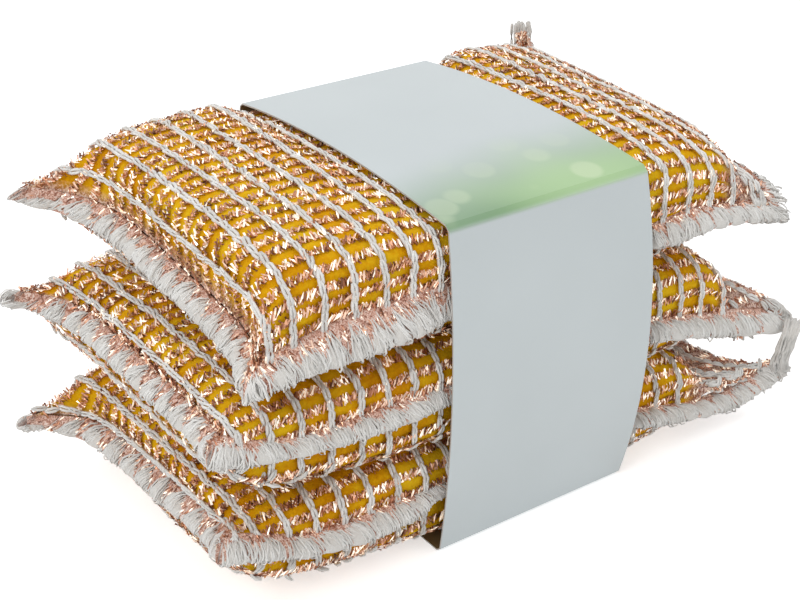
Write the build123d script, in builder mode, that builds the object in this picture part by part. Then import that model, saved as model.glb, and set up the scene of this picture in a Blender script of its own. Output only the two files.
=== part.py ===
from build123d import *

import os
from math import cos, pi, radians, sin, sqrt

# A set of three pot scrubbers in a card band. Each scrubber is a foam block in a knitted net,
# closed by thick overlock seams at its front and both ends, with a pointed ear at each corner.
# X runs along the scrubbers, Y from front to back and Z up. The origin is the centre of the
# band's underside, where the set rests. Sizes are in millimetres, angles in degrees.

os.makedirs("parts", exist_ok=True)

# Card band: length along X, how far its creases press into the pads, and how far its panels bow
band_length = 56.4
crease_squeeze = 2.0
card = 0.4
crease_radius = 1.2
crown_sag = 2.7
front_bow_left = 3.2
front_bow_right = 6.1
back_bow = 4.0
lap_bottom_height = 32.0
lap_length = 18.0
glue = 0.12
glue_margin = 2.0

# Scrubbers: length between the middles of the two end seams, and thickness over the net
bottom_length = 162.5
middle_length = 164.0
top_length = 145.0
bottom_thickness = 27.5
middle_thickness = 27.7
top_thickness = 30.6
pad_depth = 90.0
slip = 0.3

# Net: wall of the knit, proud chain-stitch wales, how many seam widths these stay clear of the
# ends, and the room left round the foam
net_wall = 1.0
wale_height = 0.9
wale_width = 1.8
wale_pitch = 7.3
end_clearance = 1.5
foam_gap = 0.15
flange_thickness = 2.4

# Overlock seams: width of the stitched edge, its thickness, and how far it hangs
seam_width = 7.5
seam_thickness = 3.2
front_droop = 60.0
end_droop = 12.0
ear_reach = 16.0

# Loose ends of the seam threads
tail_length = 5.0
tail_radius = 0.7

# Shape of the pillow: powers of its rounded section and of its fullness towards the ends
section_power = 6.0
end_power = 7.0
section_points = 10
pillow_shares = (-1, -0.98, -0.9, -0.7, 0.7, 0.9, 0.98, 1)
hollow_shares = (-0.9, -0.7, 0.7, 0.9)
end_seam_shares = (-1, -0.93, -0.78, 0.78, 0.93, 1)
front_seam_shares = (-1, -0.9, -0.6, 0.6, 0.9, 1)

# What tells the three scrubbers apart. shift_share is of the length, seam heights are shares of
# the thickness at the left end, middle and right end, and an ear is its reach as a share of
# ear_reach, its height as a share of the thickness, and its depth as a share of the room there.
pad_shares = {
    "bottom": {
        "length": bottom_length,
        "thickness": bottom_thickness,
        "shift_share": -0.002,
        "sag_share": 0.0,
        "front_height_shares": (0.72, 0.65, 0.39),
        "back_height_shares": (0.48, 0.5, 0.5),
        "wale_shift_share": 0.2,
        "ear_shares": {
            "front_left": (0.29, 0.78, 0.96),
            "back_left": (0.88, 0.465, 1),
            "front_right": (0.36, 0.375, 1),
            "back_right": (0.56, 0.5, 1),
        },
        "tail_corner": (-1, 1),
    },
    "middle": {
        "length": middle_length,
        "thickness": middle_thickness,
        "shift_share": -0.006,
        "sag_share": 0.0,
        "front_height_shares": (0.70, 0.645, 0.17),
        "back_height_shares": (0.69, 0.5, 0.5),
        "wale_shift_share": 0.2,
        "ear_shares": {
            "front_left": (0.24, 0.69, 0.94),
            "back_left": (0.72, 0.71, 0.98),
            "front_right": (0.36, 0.08, 1),
            "back_right": (0.5, 0.5, 0.98),
        },
        "tail_corner": (-1, 1),
    },
    "top": {
        "length": top_length,
        "thickness": top_thickness,
        "shift_share": -0.0105,
        "sag_share": 0.9,
        "front_height_shares": (0.19, 0.47, 0.16),
        "back_height_shares": (0.52, 0.5, 0.68),
        "wale_shift_share": 0.41,
        "ear_shares": {
            "front_left": (0.29, 0.125, 1),
            "back_left": (1.0, 0.585, 0.99),
            "front_right": (0.34, 0.125, 1),
            "back_right": (-0.42, 0.86, 0.98),
        },
        "tail_corner": (1, 1),
    },
}

half_depth = pad_depth / 2 - crease_squeeze
floor = card + slip
for pad in pad_shares.values():
    pad["floor"] = floor
    floor = floor + pad["thickness"] + slip
band_crown_height = floor + card
band_height = band_crown_height - crown_sag


def panel_depth(height, bow, outward):
    """Distance from the band's middle to a bowed side panel's face, moved outward by a thickness."""
    half = band_height / 2
    radius = (half**2 + bow**2) / (2 * bow)
    return half_depth + bow - radius + sqrt((radius + outward) ** 2 - (height - half) ** 2)


def room(height, side):
    """Distance from the middle to where a pad may reach inside the band, at its front or back."""
    bow = front_bow_left if side < 0 else back_bow
    return panel_depth(height, bow, -card) - slip


def between(share, left, middle, right):
    """Value at a share of the half length, where the left, middle and right ends have their own."""
    end = left if share < 0 else right
    return middle + (end - middle) * abs(share)


def body_end(pad, side):
    """X of the net's flange inside the left (-1) or right (1) end seam."""
    return pad["length"] * (pad["shift_share"] + side / 2) - side * seam_width


def body_x(pad, share):
    """X at a share of the way from the middle of the pad to its left or right body end."""
    middle_x = pad["length"] * pad["shift_share"]
    side = -1 if share < 0 else 1
    return middle_x + (body_end(pad, side) - middle_x) * abs(share)


def seam_height(pad, share, front_weight):
    """Height of the line where the two halves of the net meet, at the front (1) or back (0)."""
    front = between(share, *pad["front_height_shares"])
    back = between(share, *pad["back_height_shares"])
    return pad["floor"] + pad["thickness"] * (front * front_weight + back * (1 - front_weight))


def fold_height(pad, share, front_weight):
    """Height of the pad's widest line: half way up its middle, and at the seam at its ends."""
    half_way = pad["floor"] + pad["thickness"] / 2
    return half_way + (seam_height(pad, share, front_weight) - half_way) * abs(share) ** end_power


def front_edge(pad):
    """Depth of the front seam's outer edge before the middle of the pad."""
    hang = seam_width * sin(radians(front_droop))
    return room(seam_height(pad, 0, 1) - hang, -1) - seam_thickness / 4


def body_front(pad):
    """Depth of the net's front wall, which the front seam is sewn to."""
    return front_edge(pad) - seam_width * cos(radians(front_droop))


def body_back(pad):
    """Depth of the net at its fold along the back, so that its wales clear the band."""
    fold = fold_height(pad, 0, 0)
    shoulder = pad["thickness"] / 2 * sin(pi / section_points) ** (2 / section_power)
    return min(room(fold - shoulder, 1), room(fold + shoulder, 1)) - wale_height


def pillow_ring(pad, share, grow):
    """Points of the pad's section at a share of its half length, grown by a thickness."""
    side_share = cos(pi / section_points) ** (2 / section_power)
    front = (body_front(pad) + grow) / side_share
    back = (body_back(pad) + grow) / side_share
    middle_y = (back - front) / 2
    half = (back + front) / 2
    fullness = max(0, 1 - abs(share) ** end_power) ** (1 / end_power)
    points = []
    for number in range(section_points):
        angle = 2 * pi * (number + 0.5) / section_points
        across = abs(cos(angle)) ** (2 / section_power)
        across = across if cos(angle) > 0 else -across
        upward = abs(sin(angle)) ** (2 / section_power)
        line = fold_height(pad, share, (1 - across) / 2)
        crown = pad["floor"] + pad["thickness"] - wale_height + grow
        crown = crown - crown_sag * pad["sag_share"] * across**2
        sole = pad["floor"] + wale_height - grow
        face = crown if sin(angle) > 0 else sole
        side = 1 if sin(angle) > 0 else -1
        rise = (face - line) * fullness + side * flange_thickness / 2 * (1 - fullness)
        points.append((middle_y + half * across, line + rise * upward))
    return points


def pillow(pad, shares, grow):
    """Sections of the pad across its length; a hollow inside the net is shorter by its wall."""
    sections = []
    for share in shares:
        x = body_x(pad, share) + min(grow, 0) * share
        with BuildSketch(Plane.YZ.offset(x)) as section:
            with BuildLine():
                Polyline(*pillow_ring(pad, share, grow), close=True)
            make_face()
        sections.append(section.sketch)
    return sections


def seam_section(plane, inner, outer):
    """Section of an overlocked edge, from its upright sewn side to its thinner outer edge."""
    stand = Vector(0, seam_thickness / 2)
    inner = Vector(*inner)
    outer = Vector(*outer)
    with BuildSketch(plane) as section:
        with BuildLine():
            Polyline(inner - stand, outer - stand / 2, outer + stand / 2, inner + stand, close=True)
        make_face()
    return section.sketch


def ear_place(pad, front, side):
    """Outermost point of an ear: front or back (-1, 1) of the left or right end (-1, 1)."""
    corner = ("front_" if front < 0 else "back_") + ("left" if side < 0 else "right")
    reach_share, height_share, depth_share = pad["ear_shares"][corner]
    x = pad["length"] * (pad["shift_share"] + side / 2) + side * ear_reach * reach_share
    z = pad["floor"] + pad["thickness"] * height_share
    y = front * (room(z, front) - seam_thickness / 4) * depth_share
    return x, y, z


def end_seam(pad, side):
    """Sections of the seam along an end: drawn in between two ears that reach out."""
    middle_x = pad["length"] * (pad["shift_share"] + side / 2)
    sections = []
    for share in end_seam_shares:
        ear_x, ear_y, ear_z = ear_place(pad, -1 if share < 0 else 1, side)
        flare = abs(share) ** end_power
        height = seam_height(pad, side, (1 - share) / 2)
        height = height + (ear_z - height) * flare
        drop = seam_width * sin(radians(end_droop)) * (1 - flare)
        inner = (body_end(pad, side), height)
        outer = (middle_x + (ear_x - middle_x) * flare, height - drop)
        sections.append(seam_section(Plane.XZ.offset(-ear_y * abs(share)), inner, outer))
    return sections


def front_seam(pad):
    """Sections of the seam along the front, which hangs down before the pad."""
    hang = seam_width * sin(radians(front_droop))
    edge = front_edge(pad)
    sections = []
    for share in front_seam_shares:
        ear_y = -ear_place(pad, -1, -1 if share < 0 else 1)[1]
        flare = abs(share) ** end_power
        height = seam_height(pad, share, 1)
        inner = (-body_front(pad), height)
        outer = (-edge - (ear_y - edge) * flare, height - hang * (1 - flare))
        sections.append(seam_section(Plane.YZ.offset(body_x(pad, share)), inner, outer))
    return sections


def thread_tail(pad):
    """Limp end of the seam's thread chain, which leaves an ear and thins to nothing."""
    front, side = pad["tail_corner"]
    x, y, z = ear_place(pad, front, side)
    y = y - front * tail_radius * 2
    sections = []
    for run_share, radius_share in ((-0.4, 1), (1, 0.4)):
        with BuildSketch(Plane.YZ.offset(x + side * tail_length * run_share)) as section:
            with Locations((y, z)):
                RegularPolygon(tail_radius * radius_share, side_count=4)
        sections.append(section.sketch)
    return sections


# The three scrubbers, from the bottom up
for pad_name, pad in pad_shares.items():
    with BuildPart() as filled_pillow:
        loft(pillow(pad, pillow_shares, 0), ruled=True)

    # Foam block: fills the net, but for the room left round it
    with BuildPart() as foam_core:
        loft(pillow(pad, hollow_shares, -net_wall - foam_gap), ruled=True)
    foam_core.part.label = "foam_core_" + pad_name
    export_step(foam_core.part, "parts/foam_core_" + pad_name + ".step")

    # Knitted net: a hollow pillow, fullest at its crown and pinched to a flange at its ends
    with BuildPart() as net_cover:
        add(filled_pillow.part)
        loft(pillow(pad, hollow_shares, -net_wall), ruled=True, mode=Mode.SUBTRACT)
    net_cover.part.label = "net_cover_" + pad_name
    export_step(net_cover.part, "parts/net_cover_" + pad_name + ".step")

    # End seams: overlocked edges drawn in between their ears, sewn to the net's flange
    end_seams = {}
    for side_name, side in (("left", -1), ("right", 1)):
        with BuildPart() as seam:
            loft(end_seam(pad, side), ruled=True)
        seam.part.label = side_name + "_seam_" + pad_name
        export_step(seam.part, "parts/" + side_name + "_seam_" + pad_name + ".step")
        end_seams[side_name] = seam.part

    # Front seam: hangs along the front, between the two end seams
    with BuildPart() as long_seam:
        loft(front_seam(pad), ruled=True)
    long_seam.part.label = "front_seam_" + pad_name
    export_step(long_seam.part, "parts/front_seam_" + pad_name + ".step")

    # Chain-stitch wales: the knit's white threads, standing proud of the net at an even pitch
    wales_each_side = int((pad["length"] / 2 - end_clearance * seam_width) / wale_pitch)
    with BuildPart() as chain_wales:
        loft(pillow(pad, pillow_shares, wale_height), ruled=True)
        with Locations((wale_pitch * pad["wale_shift_share"], 0, pad["floor"] + pad["thickness"] / 2)):
            with GridLocations(wale_pitch, pad_depth, 2 * wales_each_side + 1, 1):
                Box(wale_width, pad_depth * 2, pad["thickness"] * 2, mode=Mode.INTERSECT)
        add(filled_pillow.part, mode=Mode.SUBTRACT)
        add(long_seam.part, mode=Mode.SUBTRACT)
    chain_wales.part.label = "chain_wales_" + pad_name
    export_step(chain_wales.part, "parts/chain_wales_" + pad_name + ".step")

    # Thread tail: the loose end of the overlock chain at one ear
    with BuildPart() as tail:
        loft(thread_tail(pad), ruled=True)
        add(end_seams["left" if pad["tail_corner"][1] < 0 else "right"], mode=Mode.SUBTRACT)
    tail.part.label = "thread_tail_" + pad_name
    export_step(tail.part, "parts/thread_tail_" + pad_name + ".step")


def panel_points(low, high, bow, outward, side):
    """Three points of a bowed side panel, from a low height to a high one."""
    heights = (low, (low + high) / 2, high)
    return [(side * panel_depth(height, bow, outward), height) for height in heights]


def card_face(front_bow, outward):
    """Points of one face of the card, from the lap's inner end down, round the stack and back."""
    lift = card + glue
    low = crease_radius
    high = band_height - crease_radius
    inner_end = panel_points(low, lap_bottom_height + lap_length, back_bow, outward, 1)
    front = panel_points(low, high, front_bow, outward, -1)
    outer_end = panel_points(lap_bottom_height, high, back_bow, lift + outward, 1)
    crown = (0, band_crown_height + outward)
    sole_y = half_depth - crease_radius
    return {
        "inner_end": inner_end[::-1],
        "sole": [(sole_y, -outward), (-sole_y, -outward)],
        "front": front,
        "crown": [(-sole_y, band_height + outward), crown, (sole_y + lift, band_height + outward)],
        "outer_end": outer_end[::-1],
    }


def card_wires(face):
    """Lines and arcs of one face of the card."""
    ThreePointArc(*face["inner_end"])
    Line(face["inner_end"][2], face["sole"][0])
    Line(*face["sole"])
    Line(face["sole"][1], face["front"][0])
    ThreePointArc(*face["front"])
    Line(face["front"][2], face["crown"][0])
    ThreePointArc(*face["crown"])
    Line(face["crown"][2], face["outer_end"][0])
    ThreePointArc(*face["outer_end"])


# Card band: one strip creased round the stack, its ends lapped at the back
with BuildPart() as paper_band:
    for x, front_bow in ((-band_length / 2, front_bow_left), (band_length / 2, front_bow_right)):
        outer = card_face(front_bow, 0)
        inner = card_face(front_bow, -card)
        with BuildSketch(Plane.YZ.offset(x)):
            with BuildLine():
                card_wires(outer)
                card_wires(inner)
                Line(outer["inner_end"][0], inner["inner_end"][0])
                Line(outer["outer_end"][2], inner["outer_end"][2])
            make_face()
    loft(ruled=True)
paper_band.part.label = "paper_band"
export_step(paper_band.part, "parts/paper_band.step")

# Glue line between the two layers of the lap
with BuildPart() as lap_glue:
    glue_low = lap_bottom_height + glue_margin
    glue_high = lap_bottom_height + lap_length - glue_margin
    near = panel_points(glue_low, glue_high, back_bow, 0, 1)
    far = panel_points(glue_low, glue_high, back_bow, glue, 1)
    with BuildSketch(Plane.YZ.offset(glue_margin - band_length / 2)):
        with BuildLine():
            ThreePointArc(*near)
            Line(near[2], far[2])
            ThreePointArc(*far)
            Line(near[0], far[0])
        make_face()
    extrude(amount=band_length - 2 * glue_margin)
lap_glue.part.label = "lap_glue"
export_step(lap_glue.part, "parts/lap_glue.step")
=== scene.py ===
from math import cos, pi, radians, sin

import bpy
import numpy as np
from mathutils import Matrix, Vector


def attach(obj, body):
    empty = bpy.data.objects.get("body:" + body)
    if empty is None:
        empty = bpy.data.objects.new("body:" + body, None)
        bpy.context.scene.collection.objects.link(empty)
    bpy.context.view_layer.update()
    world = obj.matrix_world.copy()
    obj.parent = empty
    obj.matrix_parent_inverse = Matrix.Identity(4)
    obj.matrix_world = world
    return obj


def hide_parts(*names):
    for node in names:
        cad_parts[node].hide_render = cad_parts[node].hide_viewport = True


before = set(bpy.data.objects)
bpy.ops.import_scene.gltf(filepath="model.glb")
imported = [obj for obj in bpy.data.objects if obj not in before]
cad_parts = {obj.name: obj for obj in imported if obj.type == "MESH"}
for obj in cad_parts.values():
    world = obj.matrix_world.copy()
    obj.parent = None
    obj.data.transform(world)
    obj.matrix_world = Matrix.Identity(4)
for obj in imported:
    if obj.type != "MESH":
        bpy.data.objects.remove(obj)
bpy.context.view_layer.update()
mm = 0.001

# The viewpoint: the set is seen from its front left, a little above, from about 0.4 m away.
# The camera's turn, tilt and lean were worked out from the creases of the card band.
view_turn = radians(-35.616)
view_tilt = radians(28.578)
view_lean = radians(0.609)
view_aside, view_down, view_away = 7.488 * mm, -34.881 * mm, 396.94 * mm
photo_width = 800
focal_pixels = 1496.26

back = Vector((sin(view_turn) * cos(view_tilt), -cos(view_turn) * cos(view_tilt), sin(view_tilt)))
level = (-back).cross(Vector((0, 0, 1))).normalized()
upright = level.cross(-back)
right = level * cos(view_lean) + upright * sin(view_lean)
up = upright * cos(view_lean) - level * sin(view_lean)
camera = bpy.data.objects.new("camera", bpy.data.cameras.new("camera"))
camera.data.lens = focal_pixels * camera.data.sensor_width / photo_width
camera.data.clip_start = 10 * mm
place = -(right * view_aside + up * view_down - back * view_away)
camera.matrix_world = Matrix.Translation(place) @ Matrix((right, up, back)).transposed().to_4x4()
bpy.context.scene.collection.objects.link(camera)
bpy.context.scene.camera = camera
bpy.context.scene.view_settings.view_transform = "Standard"


# The studio: a white floor that runs out of sight, even daylight, and three soft lamps.
# The floor and the sky show white to the eye and in reflections; the floor keeps the shadow.
class Wire:
    """A socket of a shader, on which sums can be written as plain expressions."""

    def __init__(self, tree, socket):
        self.tree = tree
        self.socket = socket

    def node(self, kind, settings=None, stops=None, out=0, **inputs):
        made = self.tree.nodes.new(kind)
        for name, value in (settings or {}).items():
            setattr(made, name, value)
        if stops:
            ramp = made.color_ramp
            while len(ramp.elements) < len(stops):
                ramp.elements.new(0.5)
            for element, (position, colour) in zip(ramp.elements, stops):
                element.position = position
                element.color = (*colour, 1)
        for name, value in inputs.items():
            key = int(name[1:]) if name[0] == "i" and name[1:].isdigit() else name.replace("_", " ")
            if isinstance(value, Wire):
                self.tree.links.new(value.socket, made.inputs[key])
            else:
                made.inputs[key].default_value = value
        return Wire(self.tree, made.outputs[out])

    def sum(self, operation, other, **more):
        return self.node("ShaderNodeMath", {"operation": operation}, i0=self, i1=other, **more)

    def __add__(self, other):
        return self.sum("ADD", other)

    def __sub__(self, other):
        return self.sum("SUBTRACT", other)

    def __mul__(self, other):
        return self.sum("MULTIPLY", other)

    def __rsub__(self, other):
        return self.node("ShaderNodeMath", {"operation": "SUBTRACT"}, i0=other, i1=self)

    __radd__ = __add__
    __rmul__ = __mul__

    def blend(self, low, high):
        return self.node("ShaderNodeMix", {"data_type": "RGBA"}, out=2, i0=self, i6=low, i7=high)

    def smooth(self, low, high):
        ease = {"interpolation_type": "SMOOTHSTEP"}
        return self.node("ShaderNodeMapRange", ease, Value=self, From_Min=low, From_Max=high)


def new_material(name):
    made = bpy.data.materials.new(name)
    made.use_nodes = True
    shader = made.node_tree.nodes["Principled BSDF"]
    return made, shader, Wire(made.node_tree, None)


def put(material, shader, **inputs):
    """Sets or links sockets of a shader by name."""
    for name, value in inputs.items():
        socket = shader.inputs[name.replace("_", " ")]
        if isinstance(value, Wire):
            material.node_tree.links.new(value.socket, socket)
        else:
            socket.default_value = value


def rgb(red, green, blue):
    """A colour given as it looks, on a scale of 0 to 255, for a shader."""
    shares = (value / 255 for value in (red, green, blue))
    linear = (share / 12.92 if share < 0.04045 else ((share + 0.055) / 1.055) ** 2.4 for share in shares)
    return (*linear, 1)


def seen_white(wire):
    """1 for what the eye sees straight or in a reflection, 0 for light that falls on things."""
    path = wire.tree.nodes.new("ShaderNodeLightPath")
    seen = Wire(wire.tree, path.outputs["Is Camera Ray"])
    for name in ("Is Glossy Ray", "Is Transmission Ray"):
        seen = seen.sum("MAXIMUM", Wire(wire.tree, path.outputs[name]))
    return seen


daylight = 0.58
sky = bpy.data.worlds.new("sky")
bpy.context.scene.world = sky
sky.use_nodes = True
sky_wire = Wire(sky.node_tree, None)
sky_strength = seen_white(sky_wire) * (1 - daylight) + daylight
sky_shader = sky.node_tree.nodes["Background"]
sky.node_tree.links.new(sky_strength.socket, sky_shader.inputs["Strength"])
sky_shader.inputs["Color"].default_value = (1, 1, 1, 1)

floor_half = 4.0
floor_mesh = bpy.data.meshes.new("floor")
floor_corners = [(x * floor_half, y * floor_half, 0) for x, y in ((-1, -1), (1, -1), (1, 1), (-1, 1))]
floor_mesh.from_pydata(floor_corners, [], [(0, 1, 2, 3)])
floor = bpy.data.objects.new("floor", floor_mesh)
bpy.context.scene.collection.objects.link(floor)
floor_material, floor_shader, wire = new_material("white_floor")
put(floor_material, floor_shader, Base_Color=rgb(244, 244, 244), Roughness=0.9)
floor_shader.inputs["Specular IOR Level"].default_value = 0.1
put(floor_material, floor_shader, Emission_Color=seen_white(wire).blend((0, 0, 0, 1), (1, 1, 1, 1)))
floor_shader.inputs["Emission Strength"].default_value = 0.55
floor_mesh.materials.append(floor_material)

for lamp_name, aim_from, power, width in (
    ("left_lamp", (-0.75, -0.35, 0.75), 3.0, 0.4),
    ("top_lamp", (0.1, 0.35, 1.1), 3.0, 0.7),
    ("front_lamp", (0.5, -0.9, 0.5), 0.7, 0.5),
):
    lamp = bpy.data.objects.new(lamp_name, bpy.data.lights.new(lamp_name, "AREA"))
    lamp.data.energy = power
    lamp.data.size = width
    lamp.location = aim_from
    lamp.rotation_mode = "QUATERNION"
    lamp.rotation_quaternion = (Vector((0, 0, 0.045)) - lamp.location).to_track_quat("-Z", "Y")
    bpy.context.scene.collection.objects.link(lamp)


# The foam pads: a soft yellow block in each net, fullest at its crown, squeezed between its
# neighbours. It swells a little through every mesh of the net, and where it ends, the net is
# gathered flat and drawn in between two ears. Net, wales and seams follow the surface laid here.
end_width = 5.8
end_droop = radians(45)
wale_pitch = 7.3
wale_lean = 1.2
course_pitch = 4.2
# How square a pad's section is at its upper front, lower front and back.
front_power, lower_front_power, back_power = 5.0, 8.0, 14.0
# How late an end seam runs out, and drops, to its ears, at the left (-1) and right (1) end.
flare_powers = {-1: (6.0, 6.0), 1: (7.0, 15.0)}
ear_narrowing = 0.2
gather_power = 1.6
net_half = 0.6
band_half, band_ease, band_squeeze = 29.0, 9, 0.9
# Each pad in mm. Of end_powers, low_corner, pinch, front_pinch, end_front and seam_back the left
# end's value comes first. end_powers say how late the foam thins towards an end, and low_corner
# how late at the lower front. A pinch is the share by which the foam ends sooner, and the front
# pinch adds to it along the front. drawn_in is how far the right seam is drawn in near its front
# ear, and the pinch there. sag lowers the crown towards the front and, inside the band, towards
# the back; bulge raises it behind, beside the band. The front seam has the heights seam_inner and
# seam_outer at each seam_x, and an end seam goes from end_front to seam_back. An ear is named by
# its side, -1 for left, and its face, -1 for front.
pad_table = {
    "bottom": {
        "end_powers": (6.5, 3.9),
        "floor": 1.9,
        "thickness": 26.0,
        "left": -81.6,
        "right": 80.9,
        "front": 40.2,
        "back": 41.0,
        "sag": 0.4,
        "bulge": 0.0,
        "low_corner": (1.8, 3.2),
        "pinch": (0.0, 0.1),
        "drawn_in": (7.5, 0.15),
        "front_pinch": (0.0, 0.15),
        "seam_x": (-84, -73, -62, -50, -31, 36, 45, 55, 66, 84),
        "seam_inner": (26.0, 22.3, 17.6, 16.8, 17.2, 14.8, 12.4, 9.6, 8.4, 12.5),
        "seam_outer": (24.0, 19.9, 15.6, 14.0, 15.6, 12.6, 10.6, 8.0, 6.2, 9.5),
        "end_front": (23.0, 15.1),
        "seam_back": (13.9, 14.4),
        "ears": {
            (-1, -1): (-86.2, -42.5, 22.4),
            (-1, 1): (-95.3, 44.0, 13.5),
            (1, -1): (86.8, -45.2, 10.2),
            (1, 1): (89.5, 43.5, 14.4),
        },
        "wale_shift": -2.9,
    },
    "middle": {
        "end_powers": (7.0, 4.9),
        "floor": 28.7,
        "thickness": 27.1,
        "left": -83.0,
        "right": 81.0,
        "front": 41.6,
        "back": 43.0,
        "sag": 0.0,
        "bulge": 0.0,
        "low_corner": (2.2, 4.5),
        "pinch": (0.0, 0.08),
        "drawn_in": (6.5, 0.2),
        "front_pinch": (0.0, 0.0),
        "seam_x": (-84, -73, -62, -50, -30, 36, 47, 57, 66, 80),
        "seam_inner": (50.0, 47.2, 44.6, 45.2, 44.5, 41.6, 38.9, 36.7, 34.6, 32.0),
        "seam_outer": (47.0, 43.6, 42.4, 42.0, 41.2, 37.2, 34.7, 32.0, 29.0, 25.0),
        "end_front": (48.2, 37.4),
        "seam_back": (47.6, 42.3),
        "ears": {
            (-1, -1): (-86.9, -42.5, 47.4),
            (-1, 1): (-94.4, 44.0, 48.1),
            (1, -1): (87.6, -45.4, 24.2),
            (1, 1): (88.5, 44.5, 42.3),
        },
        "wale_shift": 1.0,
    },
    "top": {
        "end_powers": (7.0, 3.3),
        "floor": 56.7,
        "thickness": 29.8,
        "left": -74.0,
        "right": 73.4,
        "front": 41.2,
        "back": 41.8,
        "sag": 2.2,
        "bulge": 1.2,
        "low_corner": (7.0, 3.3),
        "pinch": (0.0, 0.04),
        "drawn_in": (0.0, 0.0),
        "front_pinch": (0.0, 0.1),
        "seam_x": (-76, -72, -62, -50, -30, 36, 47, 57, 66, 76),
        "seam_inner": (72.5, 71.4, 69.4, 69.6, 69.8, 67.5, 68.7, 67.2, 65.8, 64.6),
        "seam_outer": (60.6, 61.0, 62.8, 62.2, 62.8, 63.4, 64.2, 63.6, 61.8, 59.4),
        "end_front": (66.5, 70.7),
        "seam_back": (72.4, 77.6),
        "ears": {
            (-1, -1): (-78.7, -44.0, 60.4),
            (-1, 1): (-90.2, 43.5, 74.4),
            (1, -1): (76.6, -45.4, 59.2),
            (1, 1): (64.5, 44.0, 83.0),
        },
        "wale_shift": -0.6,
    },
}


def end_x(pad, side):
    """X of the net's edge inside an end seam."""
    return (pad["left"] if side < 0 else pad["right"]) - side * end_width * cos(end_droop)


def near_front_ear(share):
    """1 towards the front of an end, falling to 0 at its middle."""
    ease = np.clip((-share - 0.05) / 0.4, 0, 1)
    return ease * ease * (3 - 2 * ease)


def end_seam_line(pad, side, share):
    """Inner and outer line of an end seam at shares of the way from front (-1) to back (1)."""
    share = np.asarray(share, float)
    front, behind = (np.array(pad["ears"][(side, face)]) for face in (-1, 1))
    ear = np.where(share[..., None] < 0, front, behind)
    flare, drop_flare = (np.abs(share) ** power for power in flare_powers[side])
    front_z = pad["end_front"][0 if side < 0 else 1]
    back_z = pad["seam_back"][0 if side < 0 else 1]
    level_z = front_z + (back_z - front_z) * (share + 1) / 2
    drop = end_width * sin(end_droop)
    outer_z = level_z - drop + (ear[..., 2] - level_z + drop) * drop_flare
    z = outer_z + drop * (1 - ear_narrowing * flare)
    y = ear[..., 1] * np.abs(share)
    edge = pad["left"]
    if side > 0:
        edge = pad["right"] - pad["drawn_in"][0] * near_front_ear(share)
    outer_x = edge + (ear[..., 0] - edge) * flare
    inner_x = outer_x - side * end_width * cos(end_droop) * (1 - ear_narrowing * flare)
    inner_y = y * (1 - 0.08 * flare)
    return np.stack([inner_x, inner_y, z], -1), np.stack([outer_x, y, outer_z], -1)


# Shares of the way from a pad's middle to its end, closest together where it curves most, and
# its section as a squared ring, from the front over the crown.
profile_share = 1 - (1 - np.linspace(0, 1, 3000)) ** 5
ring_angle = pi - np.linspace(0, 2 * pi, 8001)
ring_power = np.where(np.sin(ring_angle) < 0, lower_front_power, front_power)
ring_power = np.where(np.cos(ring_angle) < 0, ring_power, back_power)
ring_across = np.sign(np.cos(ring_angle)) * np.abs(np.cos(ring_angle)) ** (2 / ring_power)
ring_rise = np.sign(np.sin(ring_angle)) * np.abs(np.sin(ring_angle)) ** (2 / ring_power)

for pad_name, pad in pad_table.items():
    pad["middle"] = (pad["left"] + pad["right"]) / 2
    half_depth = (pad["front"] + pad["back"]) / 2
    half_thick = pad["thickness"] / 2
    steps = np.hypot(np.diff(ring_across) * half_depth, np.diff(ring_rise) * half_thick)
    pad["ring_length"] = steps.sum()
    pad["ring_table"] = np.concatenate([[0], np.cumsum(steps)])
    for number, side in enumerate((-1, 1)):
        power = pad["end_powers"][number]
        half = abs(end_x(pad, side) - pad["middle"])
        pinch = pad["pinch"][number] + 0.7 * number * pad["drawn_in"][1]
        full = (1 - np.minimum(profile_share * (1 + pinch), 1) ** power) ** (1 / power)
        steps = np.hypot(np.diff(profile_share) * half, np.diff(full) * half_thick)
        pad["run_table", side] = np.concatenate([[0], np.cumsum(steps)])
        pad["run_length", side] = steps.sum()


def pressed(x):
    """1 inside the card band, falling to 0 a little way outside it."""
    ease = np.clip((band_half + band_ease - np.abs(x)) / band_ease, 0, 1)
    return ease * ease * (3 - 2 * ease)


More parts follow.
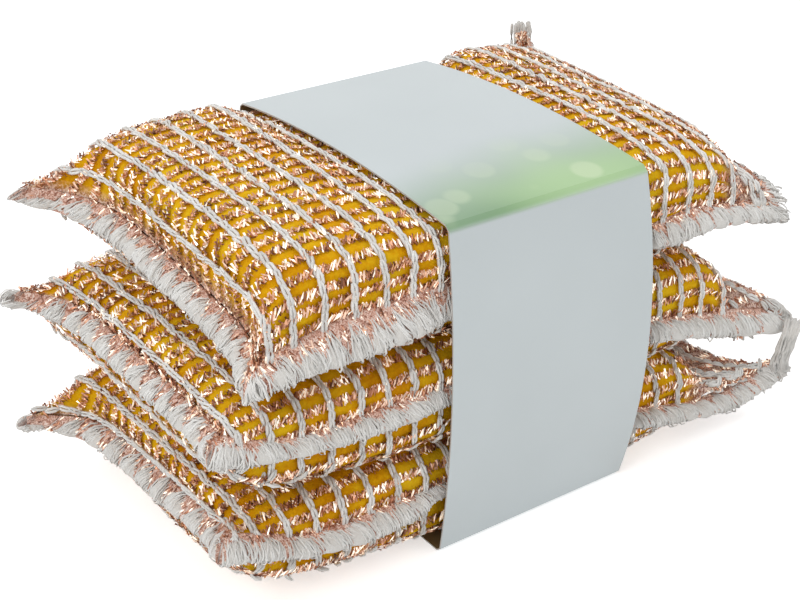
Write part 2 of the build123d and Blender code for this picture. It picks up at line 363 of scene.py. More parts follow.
def pad_points(pad, run, turn, lift=0.0, with_thin=False):
    """Points on a pad, in mm: run is the way along its crown from the middle, turn the way round
    its section from the front over the crown, and lift the height above its surface. With them,
    if asked for, comes how thin the pad is there: 0 in its middle, 1 where the net lies flat."""
    run, turn = np.broadcast_arrays(np.asarray(run, float), np.asarray(turn, float))
    turn = np.mod(turn, pad["ring_length"])
    across = np.interp(turn, pad["ring_table"], ring_across)
    rise = np.interp(turn, pad["ring_table"], ring_rise)
    out = np.zeros((*run.shape, 3))
    thinness = np.zeros(run.shape)
    near_front = np.clip(-across, 0, 1) ** 3
    low_front = np.clip(-across, 0, 1) ** 2 * np.clip(-1.2 * rise, 0, 1)
    for number, side in enumerate((-1, 1)):
        here = (run < 0) if side < 0 else (run >= 0)
        share = np.interp(np.abs(run), pad["run_table", side], profile_share)
        power = pad["end_powers"][number]
        power = power + (pad["low_corner"][number] - power) * low_front
        pinch = pad["pinch"][number] + pad["front_pinch"][number] * near_front
        pinch = pinch + number * pad["drawn_in"][1] * near_front_ear(across)
        pinched = np.minimum(share * (1 + pinch), 1)
        full = (1 - pinched**power) ** (1 / power)
        thin = 1 - full
        inner, _ = end_seam_line(pad, side, across)
        x = pad["middle"] + (end_x(pad, side) - pad["middle"]) * share
        squeeze = pressed(x)
        x = x + (inner[..., 0] - end_x(pad, side)) * thin**gather_power
        front_y = -(pad["front"] + lift)
        back_y = pad["back"] + lift
        y = (front_y + back_y) / 2 + (back_y - front_y) / 2 * across
        y = y + (inner[..., 1] - y) * thin**gather_power
        half_way = pad["floor"] + pad["thickness"] / 2
        line = half_way + (inner[..., 2] - half_way) * thin
        sag = pad["sag"] * across**2 * np.where(across < 0, 1, squeeze)
        bulge = pad["bulge"] * (1 - squeeze) * np.clip(across + 0.4, 0, 1)
        crown = pad["floor"] + pad["thickness"] - sag + bulge - band_squeeze * squeeze + lift
        sole = pad["floor"] - lift
        face = np.where(rise > 0, crown, sole)
        z = line + (face - line) * full * np.abs(rise) + np.sign(rise) * thin * (net_half + lift)
        out[here] = np.stack([x, y, z], -1)[here]
        thinness[here] = thin[here]
    return (out, thinness) if with_thin else out


def unit(ways):
    """The same ways, 1 long."""
    return ways / np.maximum(np.linalg.norm(ways, axis=-1, keepdims=True), 1e-9)


def pad_frames(pad, run, turn):
    """Points of a pad with the directions along its run, along its turn and outwards."""
    step = 0.3
    here = pad_points(pad, run, turn)
    along = pad_points(pad, run + step, turn) - pad_points(pad, run - step, turn)
    round_it = pad_points(pad, run, turn + step) - pad_points(pad, run, turn - step)
    out = np.cross(along, round_it)
    return here, unit(along), unit(round_it), unit(out)


def wale_offset(pad, turn):
    """How far along a pad its wales stand, which lean a little from front to back."""
    across = np.interp(np.mod(turn, pad["ring_length"]), pad["ring_table"], ring_across)
    return pad["wale_shift"] - wale_lean * across


def new_piece(name, points, faces):
    """A smooth mesh object from points in mm and faces."""
    made = bpy.data.meshes.new(name)
    made.from_pydata((np.asarray(points).reshape(-1, 3) * mm).tolist(), [], faces)
    made.update()
    made.shade_smooth()
    piece = bpy.data.objects.new(name, made)
    bpy.context.scene.collection.objects.link(piece)
    return piece


def grid_faces(rows, columns):
    """Faces of a grid of points whose rows are closed rings."""
    faces = []
    for i in range(rows - 1):
        for j in range(columns):
            k = (j + 1) % columns
            faces.append((i * columns + j, i * columns + k, (i + 1) * columns + k, (i + 1) * columns + j))
    return faces


foam, foam_shader, wire = new_material("yellow_foam")
at = wire.node("ShaderNodeTexCoord", out=3)
cells = wire.node("ShaderNodeTexVoronoi", Vector=at, Scale=1500.0)
broad = wire.node("ShaderNodeTexNoise", Vector=at, Scale=90.0, Detail=2.0)
grain = wire.node("ShaderNodeTexNoise", Vector=at, Scale=900.0, Detail=3.0)
foam_tone = broad * 0.9 + grain * 0.3 - cells * 0.1
foam_stops = [
    (0.3, rgb(196, 126, 0)[:3]),
    (0.5, rgb(222, 162, 6)[:3]),
    (0.7, rgb(232, 188, 26)[:3]),
]
foam_colour = wire.node("ShaderNodeValToRGB", stops=foam_stops, i0=foam_tone)
# The flange is 1 where the net lies flat beyond the foam, and shows the net's own colour.
flange = wire.node("ShaderNodeAttribute", {"attribute_name": "flange"}, out=2)
twine = wire.node("ShaderNodeTexNoise", Vector=at, Scale=1100.0, Detail=3.0, Distortion=1.5)
net_colour = twine.smooth(0.35, 0.62).blend(rgb(150, 96, 72), rgb(240, 214, 200))
foam_colour = flange.blend(foam_colour, net_colour)
foam_bump = wire.node("ShaderNodeBump", Strength=0.5, Distance=0.2 * mm, Height=cells)
put(foam, foam_shader, Base_Color=foam_colour, Roughness=0.9, Normal=foam_bump)
foam_shader.inputs["Specular IOR Level"].default_value = 0.12
foam_shader.inputs["Subsurface Weight"].default_value = 0.12
foam_shader.inputs["Subsurface Radius"].default_value = (2 * mm, 1.2 * mm, 0.2 * mm)

mesh_swell, under_net = 0.5, 0.5
for pad_name, pad in pad_table.items():
    rows, columns = 200, 224
    runs = np.linspace(-pad["run_length", -1], pad["run_length", 1], rows)
    turns = np.arange(columns) / columns * pad["ring_length"]
    run, turn = np.meshgrid(runs, turns, indexing="ij")
    here, _, _, out = pad_frames(pad, run, turn)
    _, thin = pad_points(pad, run, turn, with_thin=True)
    between_wales = np.abs(np.sin(pi * (run - wale_offset(pad, turn)) / wale_pitch))
    between_courses = np.abs(np.sin(pi * turn / course_pitch))
    room = 1 - np.clip(np.abs(run) / pad["run_length", 1], 0, 1) ** 12
    swell = mesh_swell * np.sqrt(between_wales * between_courses) * room
    here = here + out * (swell - under_net)[..., None]
    piece = new_piece("foam_pad_" + pad_name, here, grid_faces(rows, columns))
    gathered = np.clip((thin - np.where(run > 0, 0.35, 0.8)) / 0.2, 0, 1)
    attribute = piece.data.attributes.new("flange", "FLOAT", "POINT")
    attribute.data.foreach_set("value", gathered.astype(np.float32).ravel())
    piece.data.materials.append(foam)
    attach(piece, "scrubber_" + pad_name)
    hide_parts("foam_core_" + pad_name)


# The net's tinsel: strips of copper foil, knitted in courses between the white wales. Each strip
# runs to and fro across its course, bent at every turn, so that some glint and some stay dark; painted
# glints and painted shade in the foil's colour add to this.
def kit(name, shapes):
    """A hidden collection of small shapes, in mm, that a tree picks from."""
    made = bpy.data.collections.new(name)
    for number, (points, faces, smooth) in enumerate(shapes):
        data = bpy.data.meshes.new(f"{name}_{number}")
        data.from_pydata((np.asarray(points) * mm).tolist(), [], faces)
        if smooth:
            data.shade_smooth()
        made.objects.link(bpy.data.objects.new(f"{name}_{number}", data))
    return made


def laying_tree():
    """Lays a shape from a kit on every guide point, turned to its two directions and sized."""
    tree = bpy.data.node_groups.new("lay_on_guides", "GeometryNodeTree")
    for name, kind, way in (
        ("Geometry", "NodeSocketGeometry", "INPUT"),
        ("Kit", "NodeSocketCollection", "INPUT"),
        ("Twist", "NodeSocketFloat", "INPUT"),
        ("Smallest", "NodeSocketFloat", "INPUT"),
        ("Largest", "NodeSocketFloat", "INPUT"),
        ("Seed", "NodeSocketInt", "INPUT"),
        ("Finish", "NodeSocketMaterial", "INPUT"),
        ("Geometry", "NodeSocketGeometry", "OUTPUT"),
    ):
        tree.interface.new_socket(name, in_out=way, socket_type=kind)

    def node(kind, settings=None, **inputs):
        made = tree.nodes.new(kind)
        for name, value in (settings or {}).items():
            setattr(made, name, value)
        for name, value in inputs.items():
            key = int(name[1:]) if name[0] == "i" and name[1:].isdigit() else name.replace("_", " ")
            if isinstance(value, bpy.types.NodeSocket):
                tree.links.new(value, made.inputs[key])
            else:
                made.inputs[key].default_value = value
        return made

    given = tree.nodes.new("NodeGroupInput").outputs
    pick = node("FunctionNodeRandomValue", {"data_type": "INT"}, Seed=given["Seed"], i4=0, i5=1000)
    twist = node("FunctionNodeRandomValue", Seed=given["Seed"], i2=-1.0, i3=1.0)
    twist_by = node("ShaderNodeMath", {"operation": "MULTIPLY"}, i0=twist.outputs[1], i1=given["Twist"])
    growth = node("FunctionNodeRandomValue", Seed=given["Seed"], i2=given["Smallest"], i3=given["Largest"])
    tone = node("FunctionNodeRandomValue", Seed=given["Seed"])
    vectors = {}
    for name in ("along", "out", "size"):
        vectors[name] = node("GeometryNodeInputNamedAttribute", {"data_type": "FLOAT_VECTOR"}, Name=name)
    aim = node(
        "FunctionNodeAxesToRotation",
        {"primary_axis": "X", "secondary_axis": "Z"},
        i0=vectors["along"].outputs[0],
        i1=vectors["out"].outputs[0],
    )
    spin = node("FunctionNodeAxisAngleToRotation", Axis=(0, 0, 1), Angle=twist_by.outputs[0])
    turned = node(
        "FunctionNodeRotateRotation",
        {"rotation_space": "LOCAL"},
        i0=aim.outputs[0],
        i1=spin.outputs[0],
    )
    sized = node(
        "ShaderNodeVectorMath",
        {"operation": "SCALE"},
        i0=vectors["size"].outputs[0],
        Scale=growth.outputs[1],
    )
    shapes = node(
        "GeometryNodeCollectionInfo",
        Collection=given["Kit"],
        Separate_Children=True,
        Reset_Children=True,
    )
    laid = node(
        "GeometryNodeInstanceOnPoints",
        Points=given["Geometry"],
        Instance=shapes.outputs[0],
        Pick_Instance=True,
        Instance_Index=pick.outputs[2],
        Rotation=turned.outputs[0],
        Scale=sized.outputs[0],
    )
    toned = node(
        "GeometryNodeStoreNamedAttribute",
        {"data_type": "FLOAT", "domain": "INSTANCE"},
        Geometry=laid.outputs[0],
        Name="tone",
        Value=tone.outputs[1],
    )
    real = node("GeometryNodeRealizeInstances", Geometry=toned.outputs[0])
    done = node("GeometryNodeSetMaterial", Geometry=real.outputs[0], Material=given["Finish"])
    tree.links.new(done.outputs[0], tree.nodes.new("NodeGroupOutput").inputs[0])
    return tree


lay_on_guides = laying_tree()


def lay(name, places, along, out, size, shapes, finish, twist=0.0, smallest=1.0, largest=1.0, seed=1):
    """A piece made by laying shapes on guide points, in mm."""
    guide = bpy.data.meshes.new(name)
    guide.from_pydata((places.reshape(-1, 3) * mm).tolist(), [], [])
    size = np.broadcast_to(np.asarray(size, float), places.shape)
    for key, values in (("along", along), ("out", out), ("size", size)):
        attribute = guide.attributes.new(key, "FLOAT_VECTOR", "POINT")
        attribute.data.foreach_set("vector", np.ascontiguousarray(values, np.float32).ravel())
    holder = bpy.data.objects.new(name + "_guide", guide)
    bpy.context.scene.collection.objects.link(holder)
    layer = holder.modifiers.new("lay", "NODES")
    layer.node_group = lay_on_guides
    chosen = {"Kit": shapes, "Twist": twist, "Smallest": smallest, "Largest": largest}
    chosen.update({"Seed": seed, "Finish": finish})
    for item in lay_on_guides.interface.items_tree:
        if item.item_type == "SOCKET" and item.name in chosen:
            layer[item.identifier] = chosen[item.name]
    graph = bpy.context.evaluated_depsgraph_get()
    graph.update()
    laid = holder.evaluated_get(graph)
    made = bpy.data.meshes.new_from_object(laid, preserve_all_data_layers=True, depsgraph=graph)
    made.name = name
    holder.modifiers.remove(layer)
    bpy.data.objects.remove(holder)
    piece = bpy.data.objects.new(name, made)
    bpy.context.scene.collection.objects.link(piece)
    return piece


# A strip is 1 long and 1 wide, with a bend in it and a twist from end to end.
strip_bends = ((0.0, 0.35, 0.1), (0.15, -0.2, 0.4), (-0.3, 0.1, 0.2), (0.3, 0.3, -0.3))
strip_twists = (0.3, -0.2, 0.25)
strip_shapes = []
for bend in strip_bends:
    edge = list(zip((-0.5, 0.0, 0.5), bend, strip_twists))
    points = [(x, side * 0.5, z + side * twist) for x, z, twist in edge for side in (-1, 1)]
    strip_shapes.append((points, [(0, 2, 3, 1), (2, 4, 5, 3)], False))
strip_kit = kit("foil_strips", strip_shapes)

copper, copper_shader, wire = new_material("copper_foil")
tone = wire.node("ShaderNodeAttribute", {"attribute_name": "tone"}, out=2)
# Each strip gets a random tone: the middle tones are the foil's own copper, the near-white ones are
# painted glints, and the darkest are painted shade for strips that would reflect dark surroundings.
foil_and_painted_glint_stops = [
    (0.0, rgb(104, 66, 46)[:3]),
    (0.2, rgb(166, 108, 80)[:3]),
    (0.45, rgb(220, 164, 132)[:3]),
    (0.7, rgb(246, 214, 192)[:3]),
    (0.8, rgb(255, 246, 232)[:3]),
]
foil_and_painted_glint_colour = wire.node("ShaderNodeValToRGB", stops=foil_and_painted_glint_stops, i0=tone)
# Painted glint: the palest strips glow through their emission, which is not lit by any lamp.
painted_glint = tone.smooth(0.8, 0.84).blend((0, 0, 0, 1), rgb(255, 236, 214))
put(copper, copper_shader, Base_Color=foil_and_painted_glint_colour, Metallic=0.75, Roughness=0.32, Emission_Color=painted_glint)
copper_shader.inputs["Emission Strength"].default_value = 0.38

strip_spacing = 0.64
strip_length, strip_width, strip_bow = 2.35, 0.34, 0.5
lean_before, lean_behind = 0.5, -0.45
height_before, height_behind = 0.5, 0.15
for number, (pad_name, pad) in enumerate(pad_table.items()):
    chance = np.random.default_rng(11 + number)
    courses = int(pad["ring_length"] / course_pitch)
    per_course = int((pad["run_length", -1] + pad["run_length", 1]) / strip_spacing)
    course = np.repeat(np.arange(courses), per_course * 2)
    step = np.tile(np.arange(per_course * 2), courses)
    behind = step % 2
    run = -pad["run_length", -1] + 0.3 + step * strip_spacing / 2 + chance.normal(0, 0.08, step.size)
    wander = 0.25 * np.sin(run / 9.0 + course * 1.7) + 0.15 * np.sin(run / 3.1 + course * 2.9)
    turn = course * course_pitch + wander + chance.normal(0, 0.12, step.size)
    here, along, round_it, out = pad_frames(pad, run, turn)
    lean = np.where(behind > 0, lean_behind, lean_before)
    lean = lean + 0.25 * np.sin(run / 5.3 + course * 4.1)
    lean = lean + chance.normal(0, 0.12, step.size)
    way = round_it * np.cos(lean)[:, None] + along * np.sin(lean)[:, None]
    way = way + out * chance.normal(0, 0.15, step.size)[:, None]
    facing = out + chance.normal(0, 0.5, (step.size, 3))
    height = np.where(behind > 0, height_behind, height_before)
    height = height + chance.normal(0, 0.12, step.size)
    here = here + out * height[:, None]
    size = np.stack([
        strip_length * chance.uniform(0.75, 1.15, step.size),
        strip_width * chance.uniform(0.75, 1.4, step.size),
        np.full(step.size, strip_bow),
    ], -1)
    piece = lay("copper_tinsel_" + pad_name, here, way, facing, size, strip_kit, copper, seed=number)
    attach(piece, "scrubber_" + pad_name)
    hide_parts("net_cover_" + pad_name)


# The wales: white thread knitted in chains of looped stitches, which run round each pad.
# A stitch is two strands that leave the last loop together and part round the next.
def tube(path, radius, sides):
    """Points and faces of a closed tube along a path, with a radius at each of its points."""
    path = np.asarray(path, float)
    radius = np.broadcast_to(np.asarray(radius, float), len(path))
    way = np.gradient(path, axis=0)
    way = way / np.linalg.norm(way, axis=1, keepdims=True)
    aside = np.cross(way, [0.1, 0.2, 1.0])
    aside = aside / np.linalg.norm(aside, axis=1, keepdims=True)
    over = np.cross(aside, way)
    angle = 2 * pi * np.arange(sides) / sides
    ring = aside[:, None] * np.cos(angle)[:, None] + over[:, None] * np.sin(angle)[:, None]
    points = (path[:, None] + ring * radius[:, None, None]).reshape(-1, 3)
    faces = [tuple(reversed(face)) for face in grid_faces(len(path), sides)]
    faces.append(tuple(range(sides)))
    faces.append(tuple(reversed(range((len(path) - 1) * sides, len(path) * sides))))
    return points, faces


def strand(side):
    """One of the two strands of a stitch that is 1 long."""
    path = [(-0.25, 0.06, 0.0), (0.25, 0.24, 0.28), (0.75, 0.25, 0.3), (1.25, 0.05, 0.05)]
    return tube([(x, side * y, z) for x, y, z in path], (0.16, 0.21, 0.22, 0.14), 4)


def joined(*shapes):
    """Several shapes as one."""
    points, faces = [], []
    for more_points, more_faces in shapes:
        faces += [tuple(index + len(points) for index in face) for face in more_faces]
        points += [tuple(point) for point in more_points]
    return points, faces


stitch_kit = kit("chain_stitches", [(*joined(strand(-1), strand(1)), True)])

thread, thread_shader, wire = new_material("white_thread")
tone = wire.node("ShaderNodeAttribute", {"attribute_name": "tone"}, out=2)
at = wire.node("ShaderNodeTexCoord", out=3)
fibre = wire.node("ShaderNodeTexNoise", Vector=at, Scale=2500.0, Detail=2.0)
thread_tone = tone * 0.5 + fibre * 0.5
thread_colour = thread_tone.blend(rgb(208, 204, 198), rgb(252, 252, 250))
thread_bump = wire.node("ShaderNodeBump", Strength=0.4, Distance=0.1 * mm, Height=fibre)
put(thread, thread_shader, Base_Color=thread_colour, Roughness=0.8, Normal=thread_bump)
thread_shader.inputs["Sheen Weight"].default_value = 0.3
thread_shader.inputs["Subsurface Weight"].default_value = 0.15
thread_shader.inputs["Subsurface Radius"].default_value = (1 * mm, 1 * mm, 1 * mm)

stitch_pitch = 2.35
stitch_width = 1.75
end_room = 2.5
wale_height = 0.15
for number, (pad_name, pad) in enumerate(pad_table.items()):
    chance = np.random.default_rng(31 + number)
    first = -int((pad["run_length", -1] + pad["wale_shift"] - end_room) / wale_pitch)
    last = int((pad["run_length", 1] - pad["wale_shift"] - end_room) / wale_pitch)
    wales = np.arange(first, last + 1) * wale_pitch
    per_wale = int(pad["ring_length"] / stitch_pitch)
    run = np.repeat(wales, per_wale)
    turn = np.tile(np.arange(per_wale) * pad["ring_length"] / per_wale, len(wales))
    run = run + wale_offset(pad, turn)
    run = run + 0.35 * np.sin(turn / 11.0 + run) + chance.normal(0, 0.12, run.size)
    here, along, round_it, out = pad_frames(pad, run, turn)
    _, thin = pad_points(pad, run, turn, with_thin=True)
    way = round_it + chance.normal(0, 0.1, (run.size, 3))
    here = here + out * (wale_height + np.clip(thin - 0.5, 0, 0.5))[:, None]
    size = np.stack([
        stitch_pitch * chance.uniform(0.95, 1.15, run.size),
        stitch_width * chance.uniform(0.85, 1.1, run.size),
        stitch_width * chance.uniform(0.8, 1.1, run.size),
    ], -1)
    name = "white_wales_" + pad_name
    piece = lay(name, here, way, out, size, stitch_kit, thread, twist=0.12, seed=number)
    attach(piece, "scrubber_" + pad_name)
    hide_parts("chain_wales_" + pad_name)


# The overlock seams: the cut edges of the net, rolled together and bound by three loose white
# threads that wrap over the edge. Bits of foil show between the threads.
net, net_shader, wire = new_material("gathered_net")
at = wire.node("ShaderNodeTexCoord", out=3)
twine = wire.node("ShaderNodeTexNoise", Vector=at, Scale=1400.0, Detail=3.0, Distortion=1.5)
net_colour = wire.node("ShaderNodeValToRGB", stops=[
    (0.36, rgb(146, 92, 70)[:3]),
    (0.5, rgb(220, 170, 150)[:3]),
    (0.62, rgb(244, 222, 210)[:3]),
], i0=twine)
net_bump = wire.node("ShaderNodeBump", Strength=0.6, Distance=0.3 * mm, Height=twine)
put(net, net_shader, Base_Color=net_colour, Roughness=0.5, Normal=net_bump)

seam_front_y = -45.2


def front_seam_line(pad, share):
    """Inner and outer line of the front seam at shares of the way from left (-1) to right (1)."""
    share = np.asarray(share, float)
    ends = [abs(pad["ears"][side, -1][0] - pad["middle"]) - 9 for side in (-1, 1)]
    half = np.where(share < 0, *ends)
    x = pad["middle"] + half * share
    inner_y = -pad["front"] - 0.3 + 0 * x
    outer_y = inner_y + (seam_front_y - inner_y) * (1 - 0.5 * pressed(x))
    inner = np.stack([x, inner_y, np.interp(x, pad["seam_x"], pad["seam_inner"])], -1)
    outer = np.stack([x, outer_y, np.interp(x, pad["seam_x"], pad["seam_outer"])], -1)
    ears = [end_seam_line(pad, side, -1.0) for side in (-1, 1)]
    flare = (np.abs(share) ** 9)[..., None]
    inner = inner + (np.where(share[..., None] < 0, ears[0][0], ears[1][0]) - inner) * flare
    outer = outer + (np.where(share[..., None] < 0, ears[0][1], ears[1][1]) - outer) * flare
    return inner, outer


def seam_points(line, share, out_share, turn):
    """Points of a seam: share along it, out_share from its inner to its outer line, and turn
    from its underside (-1) to its top side (1)."""
    inner, outer = line(share)
    flat = inner + (outer - inner) * out_share[..., None]
    step = 0.01
    next_inner, _ = line(np.clip(share + step, -1, 1))
    last_inner, _ = line(np.clip(share - step, -1, 1))
    along = next_inner - last_inner
    normal = unit(np.cross(along, outer - inner))
    normal = np.where(normal[..., 2:] < 0, -normal, normal)
    return flat + normal * turn[..., None], along, outer - inner, normal


wrap_path = [
    (-0.03, 0.0, 0.35),
    (0.3, 0.02, 0.8),
    (0.65, -0.02, 0.85),
    (0.92, 0.0, 0.6),
    (1.02, 0.02, 0.0),
    (0.9, 0.0, -0.6),
    (0.4, -0.02, -0.8),
]
wrap_length = 7.0
narrowest = 4.5


def wrap(bend, thickness):
    """A thread over the seam's edge, wrap_length long: x across the seam, z over and under it."""
    path = [(x * wrap_length, y * wrap_length + bend * x * (1 - x) * 4, z * 1.7) for x, y, z in wrap_path]
    return tube(path, thickness * np.array((0.6, 0.9, 1, 1, 1, 0.9, 0.7)), 4)


# Each kind of thread by how far it bends aside and by its thickness, both in mm.
wrap_bends = ((-0.8, 0.22), (0.0, 0.26), (0.7, 0.2), (0.35, 0.28))
wrap_kit = kit("wrap_threads", [(*wrap(bend, thickness), True) for bend, thickness in wrap_bends])
# Each seam by the pitch of its bunches in mm, how strongly its threads bunch, and the share of
# its width, from the inside, at which the white threads begin.
seam_table = {
    "left": {"bottom": (9.5, 0.95, 0.3), "middle": (8.5, 0.95, 0.3), "top": (7.0, 0.7, 0.2)},
    "right": {"bottom": (8.0, 0.4, 0.15), "middle": (9.0, 0.4, 0.15), "top": (8.0, 0.4, 0.15)},
    "front": {"bottom": (6.0, 0.5, 0.06), "middle": (7.0, 0.45, 0.08), "top": (5.5, 0.6, 0.3)},
}


class Seam:
    """One seam of one pad: its lines, and how its threads bunch along it."""

    def __init__(self, pad, side, long, pitch, bunching, white_from, phase):
        self.pad = pad
        self.side = side
        self.long = long
        self.pitch = pitch
        self.bunching = bunching
        self.white_from = white_from
        self.phase = phase

    def lines(self, share):
        if self.side:
            return end_seam_line(self.pad, self.side, share)
        return front_seam_line(self.pad, share)

    def white_at(self, share):
        """Where the white threads begin, which is nearer the inside on the front seam's right."""
        fade = 1.0 if self.side else np.interp(share, (-0.2, 0.6), (1.0, 0.4))
        return self.white_from * fade

    def angle(self, share):
        turned = 2 * pi * (share * self.long / 2) / self.pitch
        return turned + self.phase + 0.8 * np.sin(share * 7 + self.phase)

    def bunched(self, share):
        shift = 0.85 * self.bunching * self.pitch / (pi * self.long)
        return np.clip(share + shift * np.cos(self.angle(share)), -1, 1)

    def swell(self, share, strength):
        return np.clip(1 + strength * self.bunching * (np.sin(self.angle(share)) - 0.15), 0.15, 1.5)

    def squeeze(self, share):
        return 1 - 0.6 * pressed(self.lines(share)[0][..., 0]) * (self.side == 0)

    def body(self, name, low_share, high_share, half, strength):
        """A rolled strip along the seam, between two shares of its width."""
        rows, columns = int(self.long * 1.6), 12
        share = np.linspace(-1, 1, rows)[:, None] + np.zeros(columns)
        angle = 2 * pi * np.arange(columns) / columns
        out_share = (low_share + high_share) / 2 - (high_share - low_share) / 2 * np.cos(angle)[None, :]
        out_share = out_share * (1 + 0.08 * (self.swell(share, strength) - 1))
        lift = half * np.sin(angle) * self.swell(share, strength) * self.squeeze(share)
        points, _, _, _ = seam_points(self.lines, share, out_share, lift)
        faces = grid_faces(rows, columns)
        faces.append(tuple(range(columns)))
        faces.append(tuple(reversed(range((rows - 1) * columns, rows * columns))))
        return new_piece(name, points, faces)

    def frames(self, share):
        """Inner and outer points, ways along and across the seam, upward ways and widths."""
        inner, outer = self.lines(share)
        zero = np.zeros(len(share))
        _, along, way, normal = seam_points(self.lines, share, zero, zero)
        width = np.maximum(np.linalg.norm(way, axis=1, keepdims=True), 1e-9)
        return inner, outer, unit(along), way / width, normal, width


# Each side of a pad with its way along x and the length of its seam in mm.
seam_sides = (("left", -1, 100), ("right", 1, 100), ("front", 0, 165))
seam_half = 1.15
threads_per_mm = 5
fleck_length, fleck_width, fleck_bow = 1.5, 0.3, 0.3
for number, (pad_name, pad) in enumerate(pad_table.items()):
    for order, (side_name, side, long) in enumerate(seam_sides):
        chance = np.random.default_rng(71 + 3 * number + order)
        seam = Seam(pad, side, long, *seam_table[side_name][pad_name], number * 2.1 + order)
        name = side_name + "_seam_" + pad_name
        rides = "scrubber_" + pad_name
        edge_from = -0.1 if side else -0.25
        edge = seam.body(side_name + "_edge_" + pad_name, edge_from, 0.98, 1.0, 0.0)
        edge.data.materials.append(net)
        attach(edge, rides)
        bed = seam.body(side_name + "_bed_" + pad_name, seam.white_from + 0.05, 1.02, seam_half, 0.9)
        bed.data.materials.append(thread)
        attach(bed, rides)

        # Foil strips lie on the net beside the threads, and show through where these part.
        count = int(long * (1.5 + 6 * seam.white_from))
        share = chance.uniform(-1, 1, count)
        reach = 0.8 if seam.bunching > 0.6 else seam.white_at(share) + 0.06
        out_share = chance.uniform(-0.08, reach, count)
        inner, outer, along, way, normal, width = seam.frames(share)
        round_top = np.sqrt(np.clip(1 - ((out_share - 0.44) / 0.54) ** 2, 0.02, 1))
        swell = seam_half * round_top * seam.squeeze(share)
        here = inner + way * width * out_share[:, None] + normal * swell[:, None]
        aim = way + along * chance.normal(0.5, 0.35, count)[:, None]
        aim = aim + normal * chance.normal(0, 0.08, count)[:, None]
        size = np.stack([
            fleck_length * chance.uniform(0.7, 1.3, count),
            fleck_width * chance.uniform(0.7, 1.4, count),
            np.full(count, fleck_bow),
        ], -1)
        facing = normal + chance.normal(0, 0.5, (count, 3))
        flecks_name = side_name + "_flecks_" + pad_name
        flecks = lay(flecks_name, here, aim, facing, size, strip_kit, copper, seed=40 + number)
        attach(flecks, rides)

        count = int(long * threads_per_mm)
        share = seam.bunched(np.linspace(-1, 1, count) + chance.normal(0, 0.35 / long, count))
        inner, outer, along, way, normal, width = seam.frames(share)
        lean = 0.28 + 0.25 * np.sin(share * long / 9.0 + seam.phase) + chance.normal(0, 0.14, count)
        aim = way + along * lean[:, None]
        reach = 1 - seam.white_at(share) + chance.uniform(-0.08, 0.08, count)
        reach = np.where(chance.random(count) < 0.3, chance.uniform(0.85, 1.05, count), reach)
        astray = chance.exponential(0.15, count) + np.where(chance.random(count) < 0.02, 0.8, 0)
        broad = np.maximum(width, narrowest)
        begin = outer - way * broad * reach[:, None] + way * astray[:, None]
        size = np.stack([
            broad[:, 0] * reach / wrap_length,
            chance.choice([-1, 1], count) * chance.uniform(0.6, 1.2, count),
            chance.uniform(0.8, 1.05, count) * seam.squeeze(share) * seam.swell(share, 0.5),
        ], -1)
        seed = number * 3 + order
        piece = lay(name + "_threads", begin, aim, normal, size, wrap_kit, thread, seed=seed)
        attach(piece, rides)
        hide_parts(name)


# Loose thread ends: a tuft stands up at the top pad's far right ear, and short ends hang from the
# same ears of the two lower pads. A slack bunch of threads links the right front ears of those.
def bunch_of(name, path, spread, count, radius, seed, body):
    """A bunch of limp threads along a path, in mm, spread across it."""
    chance = np.random.default_rng(seed)
    path = np.array(path, float)
    threads = []
    for _ in range(count):
        offset = chance.uniform(-1, 1) * np.array(spread)
        wobble = chance.normal(0, 0.35, path.shape)
        threads.append(tube(path + offset + wobble, radius * chance.uniform(0.7, 1.2), 5))
    piece = new_piece(name, *joined(*threads))
    piece.data.materials.append(thread)
    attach(piece, body)
    return piece


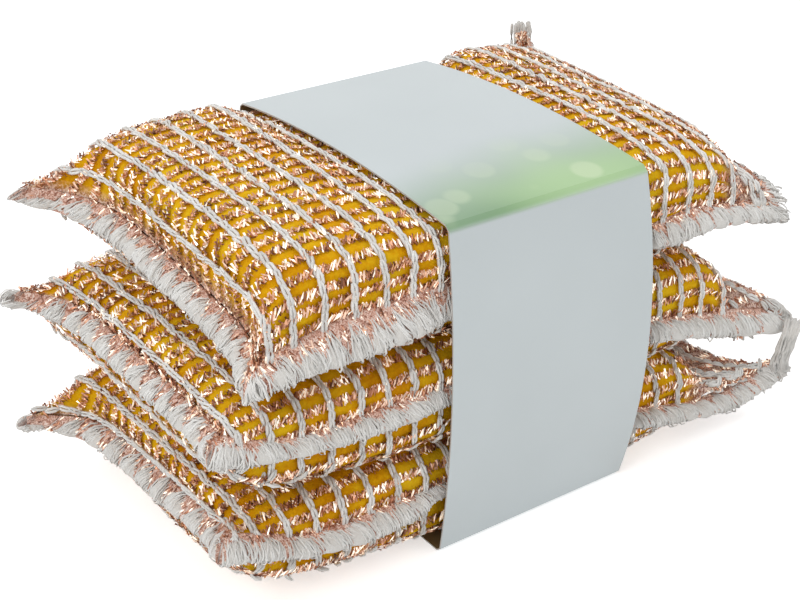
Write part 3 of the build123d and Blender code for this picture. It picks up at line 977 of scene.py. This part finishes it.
across_view = (2.2, -1.5, 0.0)
tuft_path = [(62.5, 43.5, 80.0), (63.0, 44.0, 83.5), (63.2, 44.3, 86.0), (62.6, 44.2, 88.8)]
tuft = bunch_of("thread_tuft_top", tuft_path, across_view, 26, 0.4, 5, "scrubber_top")
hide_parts("thread_tail_top")
for pad_name in ("bottom", "middle"):
    ear = np.array(pad_table[pad_name]["ears"][1, 1])
    tail_path = [ear + (-2.0, -0.8, 0.0), ear + (0.8, 0.0, -0.6), ear + (2.2, 0.6, -2.2)]
    body = "scrubber_" + pad_name
    tail = bunch_of("thread_end_" + pad_name, tail_path, (0.5, 0.5, 0.4), 7, 0.3, 8, body)
    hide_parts("thread_tail_" + pad_name)
link_path = [
    (84.1, -46.8, 28.6),
    (80.6, -48.6, 26.4),
    (79.1, -48.8, 23.0),
    (78.5, -48.6, 19.5),
    (79.1, -48.2, 16.6),
]
bunch_of("thread_link_middle", link_path, (1.8, -0.9, 0.0), 40, 0.42, 6, "scrubber_middle")


# The card band: one strip of coated card, creased round the stack and glued at the back.
# It is pale outside, with a soft green wash printed on its top; its inside is painted dark brown as shade.
band_middle_z = 0.043
card, card_shader, wire = new_material("coated_card")
at = wire.node("ShaderNodeTexCoord", out=3)
facing = wire.node("ShaderNodeTexCoord", out=1)
place_y = wire.node("ShaderNodeSeparateXYZ", out=1, Vector=at)
place_z = wire.node("ShaderNodeSeparateXYZ", out=2, Vector=at)
edge_on = wire.node("ShaderNodeSeparateXYZ", out=0, Vector=facing).sum("ABSOLUTE", 0.0).smooth(0.7, 0.95)
facing_y = wire.node("ShaderNodeSeparateXYZ", out=1, Vector=facing)
facing_z = wire.node("ShaderNodeSeparateXYZ", out=2, Vector=facing)
# Which faces look into the band: these get the painted shade below.
inside_painted_shade = 1 - (facing_y * place_y + facing_z * (place_z - band_middle_z)).smooth(-0.004, 0.004)
mottle = wire.node("ShaderNodeTexNoise", Vector=at, Scale=30.0, Detail=2.0)
drift = wire.node("ShaderNodeTexNoise", Vector=at, Scale=22.0, Detail=1.0)
discs = wire.node("ShaderNodeTexVoronoi", Vector=at, Scale=95.0, Randomness=0.9)
plain_card = mottle.blend(rgb(198, 206, 208), rgb(208, 216, 218))
wash = (drift * -0.03 + place_y * -1.0).smooth(-0.004, 0.03) * place_z.smooth(0.083, 0.0845)
soft_discs = (1 - discs.smooth(0.28, 0.42)) * wash
green = drift.smooth(0.35, 0.65).blend(rgb(168, 206, 142), rgb(94, 146, 78))
printed = (wash * 0.85).blend(plain_card, green)
printed = (soft_discs * 0.35).blend(printed, rgb(226, 238, 206))
card_colour = edge_on.blend(printed, rgb(244, 246, 246))
# Painted shade: the band's inside is coloured dark brown in place of the shade that falls inside it.
card_colour = inside_painted_shade.blend(card_colour, rgb(118, 96, 64))
put(card, card_shader, Base_Color=card_colour, Roughness=0.4)
card_shader.inputs["Coat Weight"].default_value = 0.1
for node_name in ("paper_band", "lap_glue"):
    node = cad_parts[node_name]
    node.data.materials.clear()
    node.data.materials.append(card)
